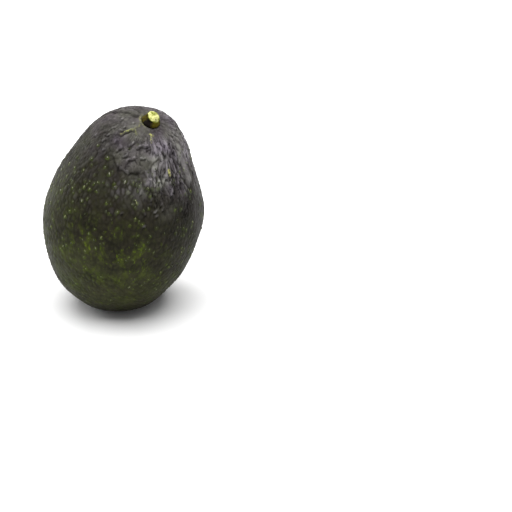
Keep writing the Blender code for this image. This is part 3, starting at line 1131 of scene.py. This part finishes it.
    def cover(self, smooth: np.ndarray, normals: np.ndarray) -> Covering:
        """Lays pebbles, wrinkles and the smooth band over the body.

        Args:
            smooth: places on the smooth body, in mm.
            normals: the way out of the body at each place.

        Returns:
            The covering, without its marks.
        """
        dome, crease, pore = self.pebbles.cover(smooth, self.body)
        inside, _ = self.dent.window(smooth, self.body)
        calm = smooth_rise(smooth[:, 2], *self.calm_base)
        rough = smooth_rise(smooth @ self.rough_side, *self.rough_reach)
        clear = 0.52 + 1.2 * perlin(smooth + 60.0, self.fade_span) + 0.68 * rough
        clear = np.clip(clear, 0.2, 1.1) * (1 - 0.7 * inside)
        rough_tops = rough * dome**2
        dome *= 0.5 + 0.5 * clear + 0.5 * rough
        stem_point, _ = self.seat.anchor(self.body)
        stem_distance = distance_from(smooth, stem_point)
        band = np.minimum(1.5 * self.band.nearness(smooth, normals), 1)
        wrinkled = self.wrinkled(smooth) * calm * smooth_rise(stem_distance, *self.wrinkle_start)
        wrinkled *= 1 - 0.8 * band
        groove, pillow = self.seat.wrinkles(smooth, self.body)
        lift = self.broad_relief(smooth) + self.band.height * band
        lift += self.pebble_base * calm * smooth_rise(stem_distance, *self.base_start)
        grown = 0.3 + 0.7 * smooth_rise(stem_distance, *self.pebble_start)
        lift += self.pebbles.height * dome * calm * grown
        lift += self.wrinkle_height * wrinkled * (0.5 * pillow - 0.8 * groove)
        none = np.zeros(len(smooth))
        return Covering(lift=lift, calm=calm, inside=inside, rough=rough, dome=dome,
                        rough_tops=rough_tops, crease=1 - (1 - crease) * clear, pore=pore,
                        wrinkled=wrinkled, pillow=pillow, band=band, shade=groove * wrinkled,
                        scar=none, fold=none)

    def cut_marks(self, smooth: np.ndarray, normals: np.ndarray, covering: Covering) -> None:
        """Raises the folds and blisters and cuts the grooves, one after another.

        Args:
            smooth: places on the smooth body, in mm.
            normals: the way out of the body at each place.
            covering: the covering, which takes them on.
        """
        lumps = np.clip(0.85 + 1.1 * perlin(smooth + 9.0, self.lump_span), 0.3, 1.3)
        wobble = self.mark_wobble * drift(smooth, self.wobble_span, (5.0, 15.0, 25.0))
        for mark in self.marks + tuple(self.blister(place) for place in self.blisters):
            place = smooth + normals * covering.lift[:, None] + wobble
            near = mark.nearness(place, normals) * (lumps if mark.height > 0 else 1.0)
            under = mark.nearness(place - self.undercut_place, normals) * (mark.undercut > 0)
            under *= np.clip(1 - near, 0, 1)
            covering.lift += mark.height * near - mark.undercut * under
            covering.scar = np.maximum(covering.scar, mark.scar * near)
            # Grooves and the undercuts under folds are painted darker as shade
            groove = np.minimum(near, 1) * (mark.height < 0)
            covering.shade = np.maximum.reduce([covering.shade, groove, under])
            # A fold's top is painted paler: partly dusting, partly glint
            if mark.height > 0 and not mark.scar:
                covering.fold = np.maximum(covering.fold, mark.dust_and_painted_glint * np.minimum(near, 1))

    def tints(self, smooth: np.ndarray, surface: np.ndarray, covering: Covering) -> dict[str, np.ndarray]:
        """Works out what the finish reads from the mesh.

        Args:
            smooth: places on the smooth body, in mm.
            surface: the same places on the finished skin, in mm.
            covering: what covers the body there.

        Returns:
            One value for each place, by the attribute's name.
        """
        side, back, height = smooth.T
        # How dark the rind is painted: shade in the grooves and under the folds, a shadow on the right flank,
        # shade towards the foot, and a darker patch left of the stem
        foot = 0.1 + 0.9 * smooth_rise(height, *self.foot_painted_shade_height)
        flank = smooth_rise(side, *self.flank_painted_shadow_side) * (1 - smooth_rise(height, *self.flank_painted_shadow_height))
        # A darker patch left of the stem
        thin = self.dark_patch * bell(distance_from(smooth, self.dark_patch_middle), self.dark_patch_reach)
        bright = (1 - 0.85 * covering.shade) * (1 - 0.45 * flank) * (1 - thin) * foot
        # How pale it is: dusting and painted sheen on the wrinkles' tops, the pebbles' tops and the folds,
        # and painted sheen in the dent and on the smooth band
        dust_and_painted_sheen = 0.85 * covering.wrinkled * covering.pillow**1.2
        dust_and_painted_sheen *= 0.25 + 0.75 * smooth_rise(side, *self.painted_sheen_side)
        dust_and_painted_sheen *= smooth_rise(self.border(smooth, 80.0), *self.painted_sheen_height)
        dust_and_painted_sheen *= 1 - 0.6 * smooth_rise(back, *self.painted_sheen_back)
        painted_sheen_near = bell(distance_from(smooth, self.painted_sheen_middle), self.painted_sheen_reach)
        tops = (0.1 + 0.5 * painted_sheen_near) * covering.dome * smooth_rise(height, *self.painted_sheen_tops_height)
        pale = np.maximum.reduce([dust_and_painted_sheen, tops, 0.14 * covering.rough_tops, 0.1 * covering.inside,
                                  covering.fold, 0.5 * covering.band])
        # The pale rim shows on the lit side only, partly as painted highlight
        lip = 0.42 * self.seat.lip(smooth, self.body)
        blossom = 1 - smooth_rise(distance_from(surface, (0.0, 0.0, 0.0)), *self.blossom_scar_radius)
        green = bell(distance_from(smooth, self.green_middle), self.green_reach)
        ripe = smooth_rise(height + self.ripe_tilt * side, *self.ripe_height)
        return {
            # The creases between the pebbles are painted darker as shade
            "pebble": (0.4 + 0.6 * covering.crease) * bright,
            "dust_and_painted_sheen": pale * (1 - 0.8 * covering.shade),
            "wrinkled": np.maximum.reduce([covering.wrinkled, 0.6 * covering.inside,
                                           0.7 * covering.rough * covering.calm]),
            "scar": np.maximum.reduce([covering.scar, lip, blossom]),
            "halo": covering.pore * covering.calm,
            "greenness": (0.25 + 0.65 * green) * (1 - 0.85 * ripe),
        }

    def build(self, skin: bpy.types.Material) -> bpy.types.Object:
        """Builds the skin, dresses it and puts it in the place of the plain solid.

        Args:
            skin: its finish.

        Returns:
            The finished piece.
        """
        directions, faces = self.ball()
        smooth = self.body.points(directions)
        normals = self.body.normals(directions)
        covering = self.cover(smooth, normals)
        self.cut_marks(smooth, normals, covering)
        surface = smooth + normals * covering.lift[:, None]
        # The foot is flat, with a soft rim
        surface[:, 2] = 0.5 * (surface[:, 2] + np.sqrt(surface[:, 2] ** 2 + self.rim_softness**2))
        surface[:, 2] -= surface[:, 2].min()
        piece = mesh_piece("avocado_skin", surface, faces)
        for name, values in self.tints(smooth, surface, covering).items():
            store(piece, name, values)
        piece.data.materials.append(skin)
        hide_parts("fruit")
        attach(piece, "root")
        return piece


@dataclass(frozen=True)
class Lenticels:
    """The corky pores of the skin, one on many of the pebbles, each a low irregular lens."""

    fruit: Fruit
    radius: Pair = (0.16, 0.43)
    rise: float = 0.2
    sectors: int = 9
    # How far out and how far in the skin is looked for, from the smooth body
    search_start: float = 4.0
    search_end: float = 6.0
    least_pore: float = 0.14
    painted_glint_height: Pair = (46.0, 70.0)
    most_tilt: float = 0.6
    stretch: Pair = (0.9, 2.6)
    raggedness: Pair = (0.65, 1.35)
    seed: int = 23

    def build(self, cork: bpy.types.Material, skin: bpy.types.Object) -> bpy.types.Object:
        """Builds all lenticels as one piece, each lying on the skin.

        Args:
            cork: their finish.
            skin: the finished fruit, which they lie on.

        Returns:
            The finished piece.
        """
        draw = random.Random(self.seed)
        body = self.fruit.body
        directions = self.fruit.pebbles.directions()
        pores = self.fruit.pebbles.pores(body)
        points, faces, brightness, wax = [], [], [], []
        for middle, out, pore in zip(body.points(directions), body.normals(directions), pores):
            if pore < self.least_pore or middle[2] < self.fruit.calm_base[1]:
                continue
            start = Vector((middle + out * self.search_start) * MM)
            reach = (self.search_start + self.search_end) * MM
            hit, place, normal, _ = skin.ray_cast(start, Vector(-out), distance=reach)
            if not hit:
                continue
            glow = (pore - self.least_pore) / (1 - self.least_pore)
            self._add(draw, np.array(place) / MM, np.array(normal), glow, points, faces, brightness)
            # Higher ones are greyer, partly as painted glint
            high = float(smooth_rise(np.array(middle[2]), *self.painted_glint_height))
            wax += [draw.uniform(0, 0.6) + 0.4 * high] * (len(points) - len(wax))
        piece = mesh_piece("lenticels", np.array(points), faces)
        store(piece, "brightness", np.array(brightness))
        store(piece, "wax", np.array(wax))
        piece.data.materials.append(cork)
        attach(piece, "root")
        return piece

    def _add(
        self, draw: random.Random, place: np.ndarray, normal: np.ndarray, glow: float,
        points: list, faces: list, brightness: list,
    ) -> None:
        """Adds one lens to the lists of points, faces and brightness.

        Args:
            draw: the seeded source of its size and shape.
            place: its middle on the skin, in mm.
            normal: the way out of the skin there.
            glow: how pale it is, from 0 to 1.
            points: all points so far.
            faces: all faces so far.
            brightness: one brightness for each point so far.
        """
        low, high = self.radius
        size = low + (high - low) * draw.uniform(0.0, 1.0) * (0.4 + 0.6 * glow)
        # Higher ones are paler, as painted glint
        paleness = glow**1.9 * (0.4 + 0.6 * float(smooth_rise(np.array(place[2]), *self.painted_glint_height)))
        upright = np.cross(np.cross(normal, (0.0, 0.0, 1.0)), normal)
        upright = upright / (np.linalg.norm(upright) + 1e-9)
        level = np.cross(upright, normal)
        tilt = draw.uniform(-self.most_tilt, self.most_tilt)
        along = upright * math.cos(tilt) + level * math.sin(tilt)
        across = np.cross(along, normal)
        first = len(points)
        points.append(place + normal * self.rise)
        brightness.append(paleness)
        stretch = draw.uniform(*self.stretch)
        for ring, reach, height in ((0, 0.55, 0.8), (1, 1.0, -0.6)):
            for sector in range(self.sectors):
                turn = 2 * math.pi * sector / self.sectors
                radius = size * reach * draw.uniform(*self.raggedness)
                points.append(
                    place + across * radius * math.cos(turn) + along * radius * stretch * math.sin(turn)
                    + normal * self.rise * height
                )
                # The upper side is painted paler as a glint, and the lower side stays green and darker as
                # painted shade
                upper = 0.5 + 0.5 * math.sin(turn)
                brightness.append(paleness * (0.9 - 0.5 * ring) * (0.35 + 0.65 * upper))
        for sector in range(self.sectors):
            after = (sector + 1) % self.sectors
            inner, outer = first + 1, first + 1 + self.sectors
            faces.append((first, inner + sector, inner + after))
            faces.append((inner + sector, outer + sector, outer + after, inner + after))


@dataclass(frozen=True)
class StemButton:
    """The button of cut stalk: a flange on the skin, a short ribbed stub and a rough cut face."""

    seat: StemSeat
    body: Body
    # Radius and height of the outline, from the root to the middle of the cut face
    profile: tuple[Pair, ...] = (
        (2.5, -1.5), (2.6, 0.1), (3.6, 0.2), (3.85, 0.6), (3.85, 1.0), (3.7, 1.4), (3.4, 1.9),
        (3.1, 2.4), (2.95, 2.8), (2.8, 3.2), (2.5, 3.5), (1.9, 3.6), (0.9, 3.6), (0.2, 3.6),
    )
    sectors: int = 128
    stations: int = 120
    lobe_height: float = 0.35
    lobe_frequency: float = 1.7
    lobe_squeeze: float = 0.35
    fibre_height: float = 0.16
    fibre_frequency: Triple = (5.0, 5.0, 1.5)
    fibre_top: float = 0.3
    uneven_from: Pair = (0.2, 0.7)
    face_roughness: float = 0.55
    knob_span: float = 1.1
    cut_height: float = 3.1
    face_border: float = 0.4
    # How far the tilt of the cut reaches down the stub
    slope_start: float = 1.2
    slope_end: float = 3.4
    cut_facing: Triple = (0.42, -0.52, 0.74)
    painted_lit_sides: tuple[Triple, ...] = ((-0.95, 0.3, 0.1), (0.8, -0.6, -0.1))
    painted_lit_side_reach: Pair = (0.25, 1.0)
    shaded_side: Triple = (0.6, -0.4, -0.7)
    shaded_reach: Pair = (0.4, 2.6)
    pared_side: Triple = (-0.68, -0.32, -0.66)
    pared_reach: Pair = (0.2, 1.0)
    pared_height: Pair = (1.2, 2.8)
    pared_depth: float = 0.26
    pith: Triple = (1.15, -0.72, -1.16)
    pith_edge: Pair = (0.28, 0.56)
    pith_depth: float = 0.5
    lean: Triple = (0.15, 0.0, -0.05)

    def outline(self) -> tuple[np.ndarray, np.ndarray, np.ndarray]:
        """Turns the profile about its axis.

        Returns:
            Turn, radius and height of each point: a row for each station, a column for each sector.
        """
        corners = np.array(self.profile)
        reach = np.concatenate([[0], np.cumsum(np.linalg.norm(np.diff(corners, axis=0), axis=1))])
        steps = np.linspace(0, reach[-1], self.stations)
        turns = np.linspace(0, 2 * math.pi, self.sectors, endpoint=False)
        turn, radius = np.meshgrid(turns, np.interp(steps, reach, corners[:, 0]))
        height = np.repeat(np.interp(steps, reach, corners[:, 1])[:, None], self.sectors, axis=1)
        return turn, radius, height

    def faces(self) -> list[list[int]]:
        """The faces between the stations, with one at each end.

        Returns:
            The numbers of each face's corners.
        """
        starts = range(0, self.stations * self.sectors, self.sectors)
        rings = [range(start, start + self.sectors) for start in starts]
        faces = []
        for low, high in zip(rings[:-1], rings[1:]):
            for sector in range(self.sectors):
                after = (sector + 1) % self.sectors
                faces.append([low[sector], low[after], high[after], high[sector]])
        return faces + [list(rings[-1]), list(reversed(rings[0]))]

    def build(self, stalk: bpy.types.Material) -> bpy.types.Object:
        """Builds the button, dresses it and puts it in the place of the plain solid.

        Args:
            stalk: its finish.

        Returns:
            The finished piece.
        """
        turn, radius, height = self.outline()
        middle, axis = self.seat.anchor(self.body)
        # Multiplied by it, a direction on the fruit turns to one on the upright button
        upright = np.array(Vector(axis).to_track_quat("Z", "Y").to_matrix())
        spokes = turned(turn, np.ones_like(turn), height * self.lobe_squeeze)
        lobes = perlin(spokes * self.lobe_frequency + 5.0, 1.0).reshape(turn.shape)
        fibres = self.fibre_top - np.abs(perlin(spokes * self.fibre_frequency, 1.0)).reshape(turn.shape)
        is_face = smooth_rise(height, self.cut_height, self.cut_height + self.face_border)
        uneven = self.lobe_height * lobes * (1 - 0.6 * is_face) + self.fibre_height * fibres * (1 - is_face)
        radius = radius * (1 + uneven * smooth_rise(height, *self.uneven_from) / 3)
        pared = self.pared_side @ upright
        beside = smooth_rise(np.cos(turn - math.atan2(pared[1], pared[0])), *self.pared_reach)
        radius = radius * (1 - self.pared_depth * beside * smooth_rise(height, *self.pared_height))
        flat = turned(turn, radius, height * 0)
        knobs = perlin(flat + 3.0, self.knob_span).reshape(turn.shape)
        pith_gap = np.linalg.norm(flat[:, :2] - (self.pith @ upright)[:2], axis=1).reshape(turn.shape)
        pith = (1 - smooth_rise(pith_gap, *self.pith_edge)) * is_face
        facing = self.cut_facing @ upright
        slope = -(flat @ facing / facing[2]).reshape(turn.shape)
        rise = smooth_rise(height, self.slope_start, self.slope_end)
        height = height + is_face * self.face_roughness * knobs + rise * slope - self.pith_depth * pith
        seat_point = middle - axis * (self.seat.dimple_depth + self.seat.seat_sink)
        placed = turned(turn, radius, height) @ upright.T + seat_point
        placed += np.outer(rise.ravel() * self.cut_height, self.lean)
        piece = mesh_piece("stalk_button", placed, self.faces())
        store(piece, "cut", (is_face * 0.75 + 0.25 * rise**2).ravel())
        # The sides that face the lights are painted lighter
        outward = unit(flat @ upright.T + 1e-6)
        painted_lit_side = np.max([outward @ unit(np.array(side)) for side in self.painted_lit_sides], axis=0)
        store(piece, "painted_lit_side", smooth_rise(painted_lit_side, *self.painted_lit_side_reach))
        # The grooves between the fibres and one side of the cut face are painted darker as shade
        groove = 0.7 * smooth_rise(-fibres, 0.0, 0.25) * (1 - is_face)
        dull = 0.55 * smooth_rise(flat @ (self.shaded_side @ upright), *self.shaded_reach).reshape(turn.shape)
        store(piece, "hollow", np.clip(np.maximum.reduce([pith, groove, dull * is_face]), 0, 1).ravel())
        piece.data.materials.append(stalk)
        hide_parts("stem_button")
        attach(piece, "root")
        return piece


@dataclass(frozen=True)
class Softbox:
    """A square studio light, aimed at the fruit."""

    name: str
    place: Triple
    size: float
    watts: float


@dataclass(frozen=True)
class Studio:
    """The white floor, the soft lights and the camera at the photograph's angle."""

    paper: SeamlessPaper = SeamlessPaper()
    floor_side: float = 8.0
    camera_place: Triple = (62.124, -493.494, 262.522)
    camera_pitch: float = 26.0
    lens: float = 85.0
    sky: float = 0.3
    lights: tuple[Softbox, ...] = (
        Softbox("overhead_softbox", (0.0, 0.0, 1.1), 1.5, 29.0),
        Softbox("left_softbox", (-1.1, 0.5, 0.5), 0.6, 5.0),
    )
    aim: Triple = (0.0, 0.0, 0.04)

    def build(self) -> None:
        """Builds floor, lights, sky and camera."""
        half = self.floor_side / 2
        corners = np.array([(-half, -half, 0), (half, -half, 0), (half, half, 0), (-half, half, 0)]) / MM
        floor = mesh_piece("floor", corners, [(0, 1, 2, 3)])
        floor.data.materials.append(self.paper.material())
        for light in self.lights:
            lamp = bpy.data.lights.new(light.name, "AREA")
            lamp.size = light.size
            lamp.energy = light.watts
            holder = bpy.data.objects.new(light.name, lamp)
            holder.location = light.place
            toward = Vector(self.aim) - Vector(light.place)
            holder.rotation_euler = toward.to_track_quat("-Z", "Y").to_euler()
            bpy.context.scene.collection.objects.link(holder)
        world = bpy.data.worlds.new("studio_sky")
        world.use_nodes = True
        background = world.node_tree.nodes["Background"]
        background.inputs["Color"].default_value = (1.0, 1.0, 1.0, 1.0)
        background.inputs["Strength"].default_value = self.sky
        bpy.context.scene.world = world
        bpy.context.scene.view_settings.view_transform = "Standard"
        camera = bpy.data.objects.new("camera", bpy.data.cameras.new("camera"))
        camera.location = Vector(self.camera_place) * MM
        camera.rotation_euler = (math.radians(90 - self.camera_pitch), 0.0, 0.0)
        camera.data.lens = self.lens
        bpy.context.scene.collection.objects.link(camera)
        bpy.context.scene.camera = camera


def report(piece: bpy.types.Object) -> None:
    """Logs a piece with its number of triangles and its material."""
    triangles = sum(len(face.vertices) - 2 for face in piece.data.polygons)
    LOG.info("%s: %d triangles, %s", piece.name, triangles, piece.data.materials[0].name)


def main() -> None:
    """Builds the avocado and its studio."""
    logging.basicConfig(level=logging.INFO, format="%(message)s")
    Studio().build()
    fruit = Fruit()
    skin = fruit.build(WaxySkin().material())
    report(skin)
    report(Lenticels(fruit).build(CorkyLenticel().material(), skin))
    report(StemButton(fruit.seat, fruit.body).build(CutStalk().material()))


if __name__ == "__main__":
    main()
